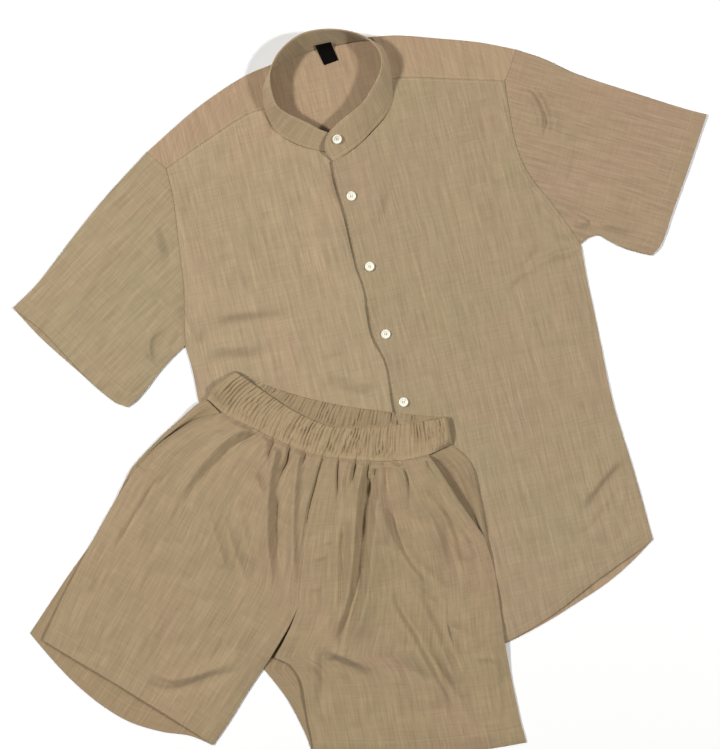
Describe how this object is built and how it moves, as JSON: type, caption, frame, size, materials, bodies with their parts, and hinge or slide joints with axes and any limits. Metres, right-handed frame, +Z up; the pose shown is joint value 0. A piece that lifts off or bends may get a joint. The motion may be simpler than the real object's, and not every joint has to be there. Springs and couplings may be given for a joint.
{
  "type": "shirt and shorts set",
  "caption": "Short-sleeved band-collar shirt laid flat with matching elastic-waist shorts overlapping its lower side.",
  "frame": {"origin": "centre of the set's outline, on the surface it lies on", "axes": "+Z up out of the surface, +Y toward the shirt's collar, +X toward the sleeve on the viewer's right"},
  "size_m": [0.8805, 0.9195, 0.0345],
  "materials": {
    "shirt_cloth": "tan slub linen and cotton weave, matt",
    "shorts_cloth": "tan slub linen and cotton weave, matt",
    "label_cloth": "plain black woven label",
    "button_plastic": "off-white, slightly shiny"
  },
  "bodies": {
    "root": {"shirt_back": "shirt_cloth", "shirt_front_left": "shirt_cloth", "shirt_front_right": "shirt_cloth", "sleeve_left": "shirt_cloth", "sleeve_right": "shirt_cloth", "collar_band": "shirt_cloth", "neck_label": "label_cloth", "button_1": "button_plastic", "button_2": "button_plastic", "button_3": "button_plastic", "button_4": "button_plastic", "button_5": "button_plastic", "button_6": "button_plastic", "button_7": "button_plastic", "shorts_back_left": "shorts_cloth", "shorts_back_right": "shorts_cloth", "shorts_front_left": "shorts_cloth", "shorts_front_right": "shorts_cloth", "pocket_left": "shorts_cloth", "pocket_right": "shorts_cloth", "waistband_front": "shorts_cloth", "waistband_back": "shorts_cloth"}
  },
  "joints": []
}
